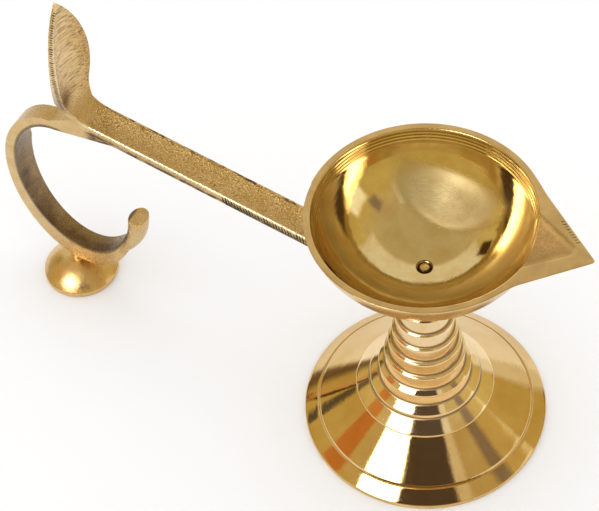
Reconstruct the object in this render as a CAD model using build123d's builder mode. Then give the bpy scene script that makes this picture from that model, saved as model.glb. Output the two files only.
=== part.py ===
"""Brass aarti lamp: hollow skirt, stepped stem, spouted oil bowl, one-piece handle and hook foot.

Millimetres, +Z up. The origin is on the stem's axis at the floor and +X points to the spout.
"""
import math
import os

from build123d import *

# Base skirt
base_radius = 32.0
lip_height = 1.2
foot_ring_width = 2.3
seat_height = 11.9
seat_plate = 3.6
turned_line_radius = 28.2
turned_line_size = 0.35

# Stepped stem, radii from the lowest step up
step_radii = (18.0, 14.35, 11.95, 10.4, 9.4, 8.35, 7.5, 6.7)
low_rises = (3.3, 2.9)
step_rise = 4.72
ledge_angle = 38.0
top_riser = 4.4
neck_radius = 5.4
neck_length = 4.9
collar_radius = 6.4
collar_height = 1.3

# Tie stud, nut and washer
stud_radius = 1.5
stud_clearance = 0.05
stud_dome = 0.35
stud_tail = 1.2
nut_flats = 5.5
nut_height = 2.4
washer_radius = 5.0
washer_height = 1.0

# Oil bowl
rim_radius = 26.6
rim_width = 1.7
bowl_depth = 20.1
bowl_wall = 1.3
boss_height = 3.9
countersink_radius = 1.8
countersink_depth = 0.6

# Spout and wick pocket
spout_turn = 5.0
spout_reach = 41.2
spout_spread_near = 29.0
spout_spread_far = 40.0
spout_depth = 7.5
spout_undercut = 38.0
spout_tip_round = 0.7
pocket_turn = 7.3
pocket_reach = 36.0
pocket_half_width = 7.4
pocket_depth = 2.4
pocket_end_half_width = 0.9
pocket_end_depth = 0.3
pocket_head = 1.0

# Handle arm and thumb leaf
eye_radius = 8.0
root_overlap = 1.0
arm_width = 8.2
arm_thickness = 2.6
arm_angle = 11.7
channel_depth = 0.5
leaf_reach = 96.0
leaf_bend = 8.0
leaf_width = 14.5
leaf_root_rise = 1.4
leaf_belly_rise = 15.7
leaf_tip_rise = 36.4
leaf_tip_thickness = 0.8
leaf_lean = 1.1
strip_margin = 1.0

# Finger hook
hook_set_back = 6.2
hook_drop = 4.2
root_drop = 0.6
gusset_reach = 16.0
loop_width = 32.9
loop_height = 50.4
hook_top = 2.9
hook_back = 3.6
hook_sole = 6.9
hook_tip = 1.2
hook_end_angle = 25.0
hook_root_width = 5.0
root_taper_start = 8.0
root_taper_end = 19.0
hook_end_width = 5.2
end_taper_start = 13.0

# Bud at the hook's end
bud_reach = 18.2
bud_rise = 27.1
bud_thickness = 5.2
bud_width = 6.8
bud_edge_round = 0.5
bud_length = 17.1
bud_run = 7.3
bud_bow = 1.65
bud_root_thickness = 3.0
bud_root_width = 5.0
bud_neck_width = 2.0
bud_neck_start = 4.6
bud_neck_end = 16.2

# Hook foot
foot_radius = 10.6
foot_lip = 1.6
foot_neck_radius = 1.9
foot_neck_height = 2.6
foot_bulge = 0.8
foot_set_back = 6.1
pad_radius = 2.2
spigot_radius = 1.4
spigot_length = 4.0
spigot_clearance = 0.1

# Heights of the stack on the stud
seat_radius = step_radii[0]
step_rises = low_rises + (step_rise,) * (len(step_radii) - len(low_rises) - 1)
riser_top = seat_height + sum(step_rises) + top_riser
stem_top = riser_top + neck_length + collar_height
eye_top = stem_top + arm_thickness
bowl_bottom = eye_top + boss_height
floor_height = bowl_bottom + bowl_wall
rim_height = floor_height + bowl_depth
ceiling_height = seat_height - seat_plate
nut_bottom = ceiling_height - washer_height - nut_height
stud_bottom = nut_bottom - stud_tail
bore_radius = stud_radius + stud_clearance

# Places along the handle
arm_half = arm_width / 2
leaf_half = leaf_width / 2
arm_root_x = root_overlap - eye_radius
arm_slope = math.tan(math.radians(arm_angle))
corner_x = -leaf_reach
corner_height = eye_top + (arm_root_x - corner_x) * arm_slope
leaf_tip_height = corner_height + leaf_tip_rise
hook_top_height = corner_height - hook_drop
loop_x = corner_x - hook_set_back
loop_top = hook_top_height - hook_top
loop_z = loop_top - loop_height / 2
hook_bottom = loop_top - loop_height - hook_sole
outer_left = loop_x - loop_width / 2 - hook_back
outer_right = loop_x + loop_width / 2 + hook_tip
outer_x = (outer_left + outer_right) / 2
outer_z = (hook_top_height + hook_bottom) / 2
outer_half_width = (outer_right - outer_left) / 2
outer_half_height = (hook_top_height - hook_bottom) / 2
foot_x = loop_x - foot_set_back
bud_x = loop_x + bud_reach
bud_top = hook_bottom + bud_rise

os.makedirs("parts", exist_ok=True)


def arm_height(x):
    """Height of the arm's upper edges at x."""
    return eye_top + (arm_root_x - x) * arm_slope


# Skirt: a hollow cone with an upright lip, standing on a flat ring
skirt_slope = (seat_height - lip_height) / (base_radius - seat_radius)
ring_inner = base_radius - foot_ring_width
ceiling_radius = ring_inner - ceiling_height / skirt_slope
line_inner = turned_line_radius - turned_line_size
line_outer = turned_line_radius + turned_line_size
turned_line_height = lip_height + (base_radius - turned_line_radius) * skirt_slope
with BuildPart() as base_skirt:
    with BuildSketch(Plane.XZ):
        with BuildLine():
            Polyline(
                (bore_radius, seat_height),
                (seat_radius, seat_height),
                (line_inner, lip_height + (base_radius - line_inner) * skirt_slope),
                (turned_line_radius, turned_line_height - turned_line_size),
                (line_outer, lip_height + (base_radius - line_outer) * skirt_slope),
                (base_radius, lip_height),
                (base_radius, 0),
                (ring_inner, 0),
                (ceiling_radius, ceiling_height),
                (bore_radius, ceiling_height),
                close=True,
            )
        make_face()
    revolve(axis=Axis.Z)
base_skirt.part.label = "base_skirt"
export_step(base_skirt.part, "parts/base_skirt.step")

# Stem: upright risers joined by sloping ledges, then a waisted neck and a collar
ledge_slope = math.tan(math.radians(ledge_angle))
stem_points = [(bore_radius, seat_height), (seat_radius, seat_height)]
riser_foot = seat_height
for below, radius, rise in zip(step_radii, step_radii[1:], step_rises):
    riser_foot = riser_foot + rise
    stem_points.append((below, riser_foot - (below - radius) * ledge_slope))
    stem_points.append((radius, riser_foot))
neck_ledge = (step_radii[-1] - neck_radius) * ledge_slope
collar_ledge = (collar_radius - neck_radius) * ledge_slope
stem_points.append((step_radii[-1], riser_top))
stem_points.append((neck_radius, riser_top + neck_ledge))
stem_points.append((neck_radius, stem_top - collar_height - collar_ledge))
stem_points.append((collar_radius, stem_top - collar_height))
stem_points.append((collar_radius, stem_top))
stem_points.append((bore_radius, stem_top))
with BuildPart() as stepped_stem:
    with BuildSketch(Plane.XZ):
        with BuildLine():
            Polyline(*stem_points, close=True)
        make_face()
    revolve(axis=Axis.Z)
stepped_stem.part.label = "stepped_stem"
export_step(stepped_stem.part, "parts/stepped_stem.step")

# Wick pocket: a V-shaped channel that is deepest at the bowl and runs out towards the tip
spout_plane = Plane.XY.offset(rim_height).rotated((0, 0, spout_turn))
pocket_frame = Plane.XY.offset(rim_height).rotated((0, 0, pocket_turn))
pocket_start = rim_radius - bowl_wall
pocket_growth = (pocket_reach - pocket_start) / (pocket_reach - rim_radius)
start_half_width = pocket_end_half_width + (pocket_half_width - pocket_end_half_width) * pocket_growth
start_depth = pocket_end_depth + (pocket_depth - pocket_end_depth) * pocket_growth
pocket_sections = []
for reach, half_width, depth in (
    (pocket_start, start_half_width, start_depth),
    (pocket_reach, pocket_end_half_width, pocket_end_depth),
):
    section_plane = Plane(
        origin=pocket_frame.from_local_coords((reach, 0, 0)),
        x_dir=pocket_frame.y_dir,
        z_dir=pocket_frame.x_dir,
    )
    with BuildSketch(section_plane) as pocket_section:
        with BuildLine():
            Polyline(
                (-half_width, pocket_head),
                (-half_width, 0),
                (0, -depth),
                (half_width, 0),
                (half_width, pocket_head),
                close=True,
            )
        make_face()
    pocket_sections.append(pocket_section.sketch.face())

# Bowl: a turned shell on a boss, with the spout cast on its rim
rim_outer = rim_radius + rim_width
spread_near = math.radians(spout_spread_near)
spread_far = math.radians(spout_spread_far)
with BuildPart() as oil_bowl:
    with BuildSketch(Plane.XZ):
        with BuildLine():
            Line((0, rim_height), (0, bowl_bottom))
            TangentArc((0, bowl_bottom), (rim_outer, rim_height), tangent=(1, 0))
            Line((rim_outer, rim_height), (0, rim_height))
        make_face()
    revolve(axis=Axis.Z)
    with BuildSketch(Plane.XY.offset(eye_top)):
        Circle(collar_radius)
    extrude(amount=boss_height + bowl_wall)
    with BuildSketch(spout_plane):
        with BuildLine():
            Polyline(
                (0, 0),
                (rim_outer * math.cos(spread_near), -rim_outer * math.sin(spread_near)),
                (spout_reach, 0),
                (rim_outer * math.cos(spread_far), rim_outer * math.sin(spread_far)),
                close=True,
            )
        spout_face = make_face()
        tip_corner = spout_face.vertices().sort_by_distance((spout_reach, 0))[0]
        fillet(tip_corner, radius=spout_tip_round)
    extrude(amount=-spout_depth, taper=spout_undercut)
    with BuildSketch(Plane.XZ):
        with BuildLine():
            Line((0, rim_height), (0, floor_height))
            TangentArc((0, floor_height), (rim_radius, rim_height), tangent=(1, 0))
            Line((rim_radius, rim_height), (0, rim_height))
        make_face()
    revolve(axis=Axis.Z, mode=Mode.SUBTRACT)
    loft(sections=pocket_sections, ruled=True, mode=Mode.SUBTRACT)
    with BuildSketch(Plane.XZ):
        with BuildLine():
            Polyline(
                (0, eye_top),
                (bore_radius, eye_top),
                (bore_radius, floor_height - countersink_depth),
                (countersink_radius, floor_height),
                (countersink_radius, floor_height + countersink_depth),
                (0, floor_height + countersink_depth),
                close=True,
            )
        make_face()
    revolve(axis=Axis.Z, mode=Mode.SUBTRACT)
oil_bowl.part.label = "oil_bowl"
export_step(oil_bowl.part, "parts/oil_bowl.step")

# Stud: one rod from below the nut to its domed end in the bowl's floor
with BuildPart() as tie_stud:
    with BuildSketch(Plane.XZ):
        with BuildLine():
            Polyline(
                (0, floor_height + stud_dome),
                (0, stud_bottom),
                (stud_radius, stud_bottom),
                (stud_radius, floor_height),
            )
            TangentArc((0, floor_height + stud_dome), (stud_radius, floor_height), tangent=(1, 0))
        make_face()
    revolve(axis=Axis.Z)
tie_stud.part.label = "tie_stud"
export_step(tie_stud.part, "parts/tie_stud.step")

# Washer under the skirt's seat plate
with BuildPart() as base_washer:
    with BuildSketch(Plane.XY.offset(ceiling_height - washer_height)):
        Circle(washer_radius)
        Circle(bore_radius, mode=Mode.SUBTRACT)
    extrude(amount=washer_height)
base_washer.part.label = "base_washer"
export_step(base_washer.part, "parts/base_washer.step")

# Hexagon nut under the washer
with BuildPart() as base_nut:
    with BuildSketch(Plane.XY.offset(nut_bottom)):
        RegularPolygon(radius=nut_flats / 2, side_count=6, major_radius=False)
        Circle(bore_radius, mode=Mode.SUBTRACT)
    extrude(amount=nut_height)
base_nut.part.label = "base_nut"
export_step(base_nut.part, "parts/base_nut.step")

# Bud: the swollen end of the hook, lofted through three level ovals that lean back along its bow
bud_sections = []
for share, thickness, width in (
    (0, bud_root_thickness, bud_root_width),
    (1 / 2, bud_thickness, (bud_root_width + bud_width) / 2),
    (1, bud_thickness, bud_width),
):
    section_x = bud_x - bud_run * (1 - share) + 4 * bud_bow * share * (1 - share)
    with BuildSketch(Plane.XY.offset(bud_top - bud_length * (1 - share))) as bud_section:
        with Locations((section_x, 0)):
            Ellipse(thickness / 2, width / 2)
    bud_sections.append(bud_section.sketch.face())
with BuildPart() as bud:
    loft(sections=bud_sections)
    fillet(bud.faces().sort_by(Axis.Z)[-1].edges(), radius=bud_edge_round)

# Finger hook: an open loop between two ellipses, narrower at its root and towards the bud
end_turn = math.radians(-hook_end_angle)
inner_end = (
    loop_x + loop_width / 2 * math.cos(end_turn),
    loop_z + loop_height / 2 * math.sin(end_turn),
)
outer_end = (
    outer_x + outer_half_width * math.cos(end_turn),
    outer_z + outer_half_height * math.sin(end_turn),
)
join_x = corner_x + gusset_reach
end_half = hook_end_width / 2
neck_half = bud_neck_width / 2
root_side = hook_root_width - arm_half
hook_length = outer_right - outer_left
with BuildPart() as hook:
    with BuildSketch(Plane.XZ):
        with BuildLine():
            EllipticalCenterArc(
                (outer_x, outer_z), outer_half_width, outer_half_height, 90, arc_size=270 - hook_end_angle
            )
            Line(outer_end, inner_end)
            EllipticalCenterArc(
                (loop_x, loop_z), loop_width / 2, loop_height / 2, 90, arc_size=270 - hook_end_angle
            )
            Polyline(
                (loop_x, loop_top),
                (join_x, arm_height(join_x) - arm_thickness / 2),
                (corner_x, corner_height - root_drop),
                (outer_x, hook_top_height),
            )
        make_face()
    extrude(amount=arm_half, both=True)
    with BuildSketch(Plane.YZ.offset(outer_left)):
        for side in (1, -1):
            with BuildLine():
                Polyline(
                    (side * arm_half, loop_z + end_taper_start),
                    (side * end_half, hook_bottom),
                    (side * arm_half, hook_bottom),
                    close=True,
                )
            make_face()
    extrude(amount=hook_length, mode=Mode.SUBTRACT)
    with BuildSketch(Plane.YZ.offset(outer_left)):
        with BuildLine():
            Polyline(
                (arm_half, loop_z + root_taper_start),
                (root_side, loop_z + root_taper_end),
                (root_side, corner_height),
                (arm_half, corner_height),
                close=True,
            )
        make_face()
    extrude(amount=corner_x - outer_left, mode=Mode.SUBTRACT)
    with BuildSketch(Plane.XY):
        for side in (1, -1):
            with BuildLine():
                Polyline(
                    (loop_x + bud_neck_start, side * arm_half),
                    (loop_x + bud_neck_end, side * neck_half),
                    (outer_right + strip_margin, side * neck_half),
                    (outer_right + strip_margin, side * arm_half),
                    close=True,
                )
            make_face()
    extrude(amount=loop_z, mode=Mode.SUBTRACT)
    add(bud.part)
    with BuildSketch(Plane.XY.offset(hook_bottom)):
        with Locations((foot_x, 0)):
            Circle(pad_radius)
    extrude(amount=hook_sole)

# Handle: a channelled strip runs out from the eye and turns up into the leaf, the hook hangs behind it
channel_radius = (arm_half ** 2 + channel_depth ** 2) / (2 * channel_depth)
channel_center = channel_radius - channel_depth
strip_half = leaf_half + strip_margin
arm_direction = math.radians(arm_angle)
bend_run = leaf_bend * math.tan(math.radians(90 - arm_angle) / 2)
bend_start = (
    corner_x + bend_run * math.cos(arm_direction),
    corner_height - bend_run * math.sin(arm_direction),
)
bend_end = (corner_x, corner_height + bend_run)
root_height = corner_height + leaf_root_rise
belly_height = corner_height + leaf_belly_rise
strip_plane = Plane(
    origin=(arm_root_x, 0, eye_top),
    x_dir=(0, 1, 0),
    z_dir=(math.cos(arm_direction), 0, -math.sin(arm_direction)),
)
leaf_plane = Plane(origin=(corner_x, 0, bend_end[1]), x_dir=(0, 1, 0), z_dir=(0, 0, -1))
tip_plane = Plane(
    origin=(corner_x + leaf_lean, 0, leaf_tip_height), x_dir=(0, 1, 0), z_dir=(0, 0, -1)
)

strip_sections = []
for section_plane, thickness in (
    (strip_plane, arm_thickness),
    (leaf_plane, arm_thickness),
    (tip_plane, leaf_tip_thickness),
):
    back_radius = channel_radius + thickness
    top_edge = channel_center - math.sqrt(channel_radius ** 2 - strip_half ** 2)
    back_edge = channel_center - math.sqrt(back_radius ** 2 - strip_half ** 2)
    back_depth = -channel_depth - thickness
    with BuildSketch(section_plane) as strip_section:
        with BuildLine():
            ThreePointArc((-strip_half, top_edge), (0, -channel_depth), (strip_half, top_edge))
            Line((strip_half, top_edge), (strip_half, back_edge))
            ThreePointArc((strip_half, back_edge), (0, back_depth), (-strip_half, back_edge))
            Line((-strip_half, back_edge), (-strip_half, top_edge))
        make_face()
    strip_sections.append(strip_section.sketch.face())
with BuildLine(Plane.XZ) as strip_path:
    Line((arm_root_x, eye_top), bend_start)
    TangentArc(bend_start, bend_end, tangent=(-math.cos(arm_direction), math.sin(arm_direction)))
with BuildPart() as handle:
    sweep(sections=strip_sections[0], path=strip_path.wire())
    loft(sections=strip_sections[1:], ruled=True)
    with BuildSketch(Plane.YZ):
        with BuildLine():
            Polyline((arm_half, root_height), (arm_half, 0), (-arm_half, 0), (-arm_half, root_height))
            TangentArc((-leaf_half, belly_height), (-arm_half, root_height), tangent=(0, -1))
            TangentArc((-leaf_half, belly_height), (0, leaf_tip_height), tangent=(0, 1))
            TangentArc((leaf_half, belly_height), (0, leaf_tip_height), tangent=(0, 1))
            TangentArc((leaf_half, belly_height), (arm_half, root_height), tangent=(0, -1))
        make_face()
    extrude(amount=-outer_left, both=True, mode=Mode.INTERSECT)
    with BuildSketch(Plane.XY.offset(stem_top)):
        Circle(eye_radius)
    extrude(amount=arm_thickness)
    add(hook.part)
    with BuildSketch(Plane.XY.offset(stem_top)):
        Circle(bore_radius)
    extrude(amount=arm_thickness, mode=Mode.SUBTRACT)
    with BuildSketch(Plane.XY.offset(hook_bottom)):
        with Locations((foot_x, 0)):
            Circle(spigot_radius + spigot_clearance)
    extrude(amount=spigot_length + spigot_clearance, mode=Mode.SUBTRACT)
handle.part.label = "handle"
export_step(handle.part, "parts/handle.step")

# Foot: a turned button with an upright lip and a spigot that is brazed into the hook
foot_plane = Plane(origin=(foot_x, 0, 0), x_dir=(1, 0, 0), z_dir=(0, -1, 0))
neck_foot = hook_bottom - foot_neck_height
bulge_point = ((foot_radius + foot_neck_radius) / 2, (foot_lip + neck_foot) / 2 + foot_bulge)
with BuildPart() as hook_foot:
    with BuildSketch(foot_plane):
        with BuildLine():
            Polyline(
                (foot_neck_radius, neck_foot),
                (pad_radius, hook_bottom),
                (spigot_radius, hook_bottom),
                (spigot_radius, hook_bottom + spigot_length),
                (0, hook_bottom + spigot_length),
                (0, 0),
                (foot_radius, 0),
                (foot_radius, foot_lip),
            )
            ThreePointArc((foot_radius, foot_lip), bulge_point, (foot_neck_radius, neck_foot))
        make_face()
    revolve(axis=Axis((foot_x, 0, 0), (0, 0, 1)))
hook_foot.part.label = "hook_foot"
export_step(hook_foot.part, "parts/hook_foot.step")
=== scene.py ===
"""Brass aarti lamp: turned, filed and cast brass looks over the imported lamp, in metres with +Z up."""
import math

import bmesh
import bpy
import numpy as np
from bpy.props import FloatProperty, FloatVectorProperty, IntProperty, PointerProperty
from mathutils import Matrix, Vector


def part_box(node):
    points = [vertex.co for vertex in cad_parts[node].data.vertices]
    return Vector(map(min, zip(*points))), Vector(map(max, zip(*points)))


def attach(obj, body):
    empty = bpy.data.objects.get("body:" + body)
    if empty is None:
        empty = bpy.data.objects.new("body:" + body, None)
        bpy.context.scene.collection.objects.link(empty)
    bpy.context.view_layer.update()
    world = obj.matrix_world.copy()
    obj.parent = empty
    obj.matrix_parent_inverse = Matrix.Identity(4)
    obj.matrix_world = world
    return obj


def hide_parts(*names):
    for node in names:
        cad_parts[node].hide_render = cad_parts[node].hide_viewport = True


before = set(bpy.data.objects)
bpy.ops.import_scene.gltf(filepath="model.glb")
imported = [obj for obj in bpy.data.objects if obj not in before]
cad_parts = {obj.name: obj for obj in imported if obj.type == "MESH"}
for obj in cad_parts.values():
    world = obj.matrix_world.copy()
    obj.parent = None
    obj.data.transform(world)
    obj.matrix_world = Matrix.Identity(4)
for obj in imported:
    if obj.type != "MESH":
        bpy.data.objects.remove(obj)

bl_info = {
    "name": "Brass Aarti Lamp",
    "version": (1, 0, 0),
    "blender": (4, 5, 0),
    "location": "View3D > Sidebar > Lamp",
    "description": "Turned, filed and cast brass pieces of a hand-held oil lamp",
    "category": "Object",
}

MM = 0.001
BODY = "root"
SHARP_ANGLE = math.radians(35)
CORNER_SHARE = 0.45
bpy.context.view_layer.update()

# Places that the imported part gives
base_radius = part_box("base_skirt")[1].x
seat_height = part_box("stepped_stem")[0].z
seat_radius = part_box("stepped_stem")[1].x
stem_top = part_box("stepped_stem")[1].z
eye_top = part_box("oil_bowl")[0].z
rim_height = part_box("oil_bowl")[1].z
foot_low, foot_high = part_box("hook_foot")
foot_x = (foot_low.x + foot_high.x) / 2
foot_radius = (foot_high.x - foot_low.x) / 2
handle_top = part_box("handle")[1].z


# Properties that a user would change
def length(name, description, millimetres):
    """A length property, written in millimetres and kept in metres."""
    return FloatProperty(
        name=name, description=description, default=millimetres * MM, min=0.0, precision=5, unit="LENGTH"
    )


def share(name, description, value):
    """A property between nothing and all."""
    return FloatProperty(
        name=name, description=description, default=value, min=0.0, max=1.0, subtype="FACTOR"
    )


def degrees(name, description, value):
    """An angle property, written in degrees and kept in radians."""
    return FloatProperty(
        name=name, description=description, default=math.radians(value), subtype="ANGLE", unit="ROTATION"
    )


def tint(name, description, colour):
    """A colour property."""
    return FloatVectorProperty(
        name=name, description=description, default=colour, size=3, min=0.0, max=1.0, subtype="COLOR"
    )


class SkirtSettings(bpy.types.PropertyGroup):
    """Sizes of the conical foot."""

    lip_height: length("Lip height", "Upright band at the skirt's edge", 1.2)
    ring_width: length("Ring width", "Flat ring that the skirt stands on", 2.3)
    seat_plate: length("Seat plate", "Thickness of the seat under the stem", 3.6)
    line_radius: length("Turned line radius", "Radius of the line cut near the edge", 28.2)
    line_size: length("Turned line size", "Half width and depth of that line", 0.35)
    rounding: length("Edge rounding", "Rounding that polishing leaves on the edges", 0.45)
    bore: length("Bore radius", "Radius of the hole for the stud", 1.55)


class StemSettings(bpy.types.PropertyGroup):
    """Sizes of the stepped stem."""

    first_rise: length("First rise", "Rise of the wide lowest step", 3.3)
    second_rise: length("Second rise", "Rise of the step above it", 2.9)
    step_rise: length("Step rise", "Rise of each further step", 4.72)
    top_riser: length("Top riser", "Height of the highest riser", 4.4)
    ledge_angle: degrees("Ledge angle", "Slope of the wide low ledges", 38.0)
    upper_ledge_angle: degrees("Upper ledge angle", "Slope of the narrow ledges above them", 29.0)
    neck_radius: length("Neck radius", "Radius of the waist under the bowl", 5.4)
    collar_radius: length("Collar radius", "Radius of the collar on the waist", 6.4)
    collar_height: length("Collar height", "Height of that collar", 1.3)
    rounding: length("Edge rounding", "Rounding that polishing leaves on the steps", 0.42)
    # Painted shade: reach of the dark brown line in the corners of the steps.
    crease_shade: length("Crease", "Reach of the brown film in the corners of the steps", 0.26)


class BowlSettings(bpy.types.PropertyGroup):
    """Sizes of the oil bowl and its spout."""

    rim_radius: length("Rim radius", "Inner radius of the rim", 26.6)
    rim_width: length("Rim width", "Width of the flat rim", 1.7)
    depth: length("Bowl depth", "Depth of the bowl inside", 20.1)
    wall: length("Wall", "Thickness of the floor", 1.3)
    boss_radius: length("Boss radius", "Radius of the boss under the bowl", 6.4)
    countersink_radius: length("Countersink radius", "Dark ring round the stud's end", 1.8)
    countersink_depth: length("Countersink depth", "Depth of that ring", 0.6)
    spout_reach: length("Spout reach", "Distance of the spout's tip from the axis", 41.2)
    spread_near: degrees("Near spread", "Angle from the spout's middle to its root on the near side", 29.0)
    spread_far: degrees("Far spread", "Angle from the spout's middle to its root on the far side", 40.0)
    spout_turn: degrees("Spout turn", "Turn of the spout about the axis", 5.0)
    spout_depth: length("Spout depth", "Depth of the spout", 7.5)
    spout_undercut: degrees("Spout undercut", "Lean of the spout's sides", 38.0)
    pocket_reach: length("Pocket reach", "Distance of the wick pocket's end from the axis", 36.0)
    pocket_turn: degrees("Pocket turn", "Turn of the pocket about the axis", 7.3)
    pocket_half_width: length("Pocket half width", "Half width of the pocket at the bowl", 7.4)
    pocket_depth: length("Pocket depth", "Depth of the pocket at the bowl", 2.4)
    pocket_end_half_width: length("Pocket end half width", "Half width at the pocket's end", 0.9)
    pocket_end_depth: length("Pocket end depth", "Depth at the pocket's end", 0.3)
    rounding: length("Edge rounding", "Rounding of the rim's edges", 0.3)
    mark_height: length("Turning marks", "Height of the faint turning marks inside", 0.003)
    lip_band: length("Line band", "Band under the rim that carries the deep turned lines", 3.4)
    line_pitch: length("Line pitch", "Distance between those lines", 0.85)
    line_height: length("Line height", "Height of those lines", 0.04)


class HandleSettings(bpy.types.PropertyGroup):
    """Finish of the cast handle, and its places."""

    detail: IntProperty(name="Detail", description="Fineness of the casting's mesh", default=9, min=6, max=9)
    arm_angle: degrees("Arm angle", "Rise of the arm", 11.7)
    arm_width: length("Arm width", "Width of the arm", 8.2)
    arm_thickness: length("Arm thickness", "Thickness of the arm", 2.6)
    arm_rounding: length("Arm rounding", "Rounding of the arm's near top edge", 0.5)
    arm_root: length("Arm root", "Distance of the arm's root from the axis", 7.0)
    leaf_reach: length("Leaf reach", "Distance of the leaf from the axis", 96.0)
    leaf_half_width: length("Leaf half width", "Half width of the leaf", 7.25)
    leaf_belly: length("Leaf belly", "Height of the leaf's widest place under its tip", 20.7)
    loop_x: length("Loop distance", "Distance of the finger loop's middle from the axis", 102.2)
    loop_z: length("Loop height", "Height of the finger loop's middle", 41.0)
    loop_half_width: length("Loop half width", "Half width of the finger loop", 16.45)
    loop_half_height: length("Loop half height", "Half height of the finger loop", 25.2)


class FileSettings(bpy.types.PropertyGroup):
    """Coarse cuts that the file left on the edges, drawn as dark strokes of painted shade."""

    pitch: length("Pitch", "Distance between the file cuts", 0.82)
    width: length("Width", "Width of a cut", 0.48)
    # Painted shade: the dark strokes stand a little proud of the surface in place of the sunk cuts.
    height: length("Height", "Height of the soil that stands in a cut", 0.16)
    slant: degrees("Slant", "Lean of the cuts on the arm", -25.0)
    seed: IntProperty(name="Seed", description="Start of the random sizes and turns", default=5, min=0)


class BrassSettings(bpy.types.PropertyGroup):
    """Colours of the brass."""

    bright: tint("Bright brass", "Freshly polished brass", (0.77, 0.54, 0.25))
    pale: tint("Pale brass", "Paler brass of the stem", (0.92, 0.71, 0.42))
    bowl: tint("Bowl brass", "Yellower brass inside the bowl", (0.79, 0.63, 0.33))
    matte: tint("Matte brass", "Dull rubbed patch inside the bowl", (0.46, 0.37, 0.19))
    # Bright wear colour, which also paints a highlight along the near edges of the arm and the leaf.
    wear_and_highlight: tint("Worn brass", "Edges that handling keeps bright", (0.95, 0.78, 0.5))
    deep: tint("Deep brass", "Brass that has darkened a little", (0.66, 0.43, 0.16))
    dull: tint("Dull brass", "Rough brass that was never polished", (0.42, 0.27, 0.1))
    # Also the colour of painted shade: in the corners of the steps, round the stud, inside the finger loop,
    # low on the leaf, under the arm and in the file cuts; real soot in the wick pocket and film on the nut
    # and washer.
    tarnish_and_shade: tint("Tarnish", "Brown film in pits and corners", (0.12, 0.07, 0.035))
    # Painted shade: near-black colour of the strokes in the file cuts.
    cut_shade: tint("Soil", "Dark dirt in the file cuts", (0.03, 0.022, 0.015))


class StudioSettings(bpy.types.PropertyGroup):
    """Floor and light of the stage."""

    floor_colour: tint("Floor", "Colour of the pale floor", (0.96, 0.96, 0.96))
    room_light: share("Room light", "Plain light from all round", 1.0)
    focal_length: FloatProperty(
        name="Focal length", description="Camera lens in millimetres", default=105.85, min=1.0,
        subtype="DISTANCE_CAMERA",
    )


# Mesh tools
def linked(name, data):
    """New object of a mesh, light or camera, linked to the scene."""
    new = bpy.data.objects.new(name, data)
    bpy.context.scene.collection.objects.link(new)
    return new


def add_piece(name, mesh, materials, slot, *replaced):
    """Links a finished mesh as a piece of the lamp that stands for the named nodes."""
    piece = linked(name, mesh)
    mesh.materials.clear()
    for material in materials:
        mesh.materials.append(material)
    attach(piece, BODY)
    if replaced:
        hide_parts(*replaced)


def curved(start, middle, end, t):
    """Point at a share of the way along a curve from start to end that bends towards middle."""
    return start * (1 - t) ** 2 + middle * (2 * t * (1 - t)) + end * t ** 2


def rounded_outline(corners, longest, steps=5):
    """Outline through corners (radius, height, rounding), with curved corners and divided sides."""
    points = []
    for index, (radius, height, rounding) in enumerate(corners):
        here = Vector((radius, height))
        if rounding <= 0:
            points.append(here)
            continue
        back = Vector(corners[index - 1][:2]) - here
        ahead = Vector(corners[(index + 1) % len(corners)][:2]) - here
        reach = rounding / math.tan(back.angle(ahead) / 2)
        reach = min(reach, CORNER_SHARE * back.length, CORNER_SHARE * ahead.length)
        start = here + back.normalized() * reach
        end = here + ahead.normalized() * reach
        points.extend(curved(start, here, end, step / steps) for step in range(steps + 1))
    outline = []
    for index, here in enumerate(points):
        ahead = points[(index + 1) % len(points)]
        parts = max(1, math.ceil((ahead - here).length / longest))
        outline.extend(here.lerp(ahead, part / parts) for part in range(parts))
    return outline


def grid_mesh(name, rows):
    """Closed mesh from rings of points of the same count; a ring on one spot is one point."""
    mesh = bpy.data.meshes.new(name)
    shaped = bmesh.new()
    rings = []
    for row in rows:
        spot = Vector(row[0])
        flat = all((Vector(point) - spot).length < 1e-9 for point in (row[1], row[-1]))
        rings.append([shaped.verts.new(point) for point in (row[:1] if flat else row)])
    for low, high in zip(rings, rings[1:] + rings[:1]):
        count = max(len(low), len(high))
        for index in range(count):
            corners = [low[index % len(low)], low[(index + 1) % len(low)]]
            corners += [high[(index + 1) % len(high)], high[index % len(high)]]
            unique = list(dict.fromkeys(corners))
            if len(unique) > 2:
                shaped.faces.new(unique)
    bmesh.ops.recalc_face_normals(shaped, faces=shaped.faces)
    for face in shaped.faces:
        face.smooth = True
    shaped.to_mesh(mesh)
    shaped.free()
    return mesh


def lathe_mesh(name, corners, longest, segments, centre_x=0.0):
    """Mesh turned about an upright axis from the corners of a rounded outline."""
    turns = [2 * math.pi * index / segments for index in range(segments)]
    rows = []
    for radius, height in rounded_outline(corners, longest):
        rows.append([(centre_x + radius * math.cos(a), radius * math.sin(a), height) for a in turns])
    return grid_mesh(name, rows)


def evaluated_mesh(piece, name):
    """Plain mesh of an object with its modifiers applied; the object itself is removed."""
    bpy.context.view_layer.update()
    depsgraph = bpy.context.evaluated_depsgraph_get()
    mesh = bpy.data.meshes.new_from_object(piece.evaluated_get(depsgraph))
    mesh.name = name
    bpy.data.objects.remove(piece)
    return mesh


def merged_copy(node, name):
    """Copy of a node's mesh with its loose triangles joined."""
    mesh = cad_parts[node].data.copy()
    mesh.name = name
    shaped = bmesh.new()
    shaped.from_mesh(mesh)
    bmesh.ops.remove_doubles(shaped, verts=shaped.verts, dist=0.001 * MM)
    shaped.to_mesh(mesh)
    shaped.free()
    return mesh


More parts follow.
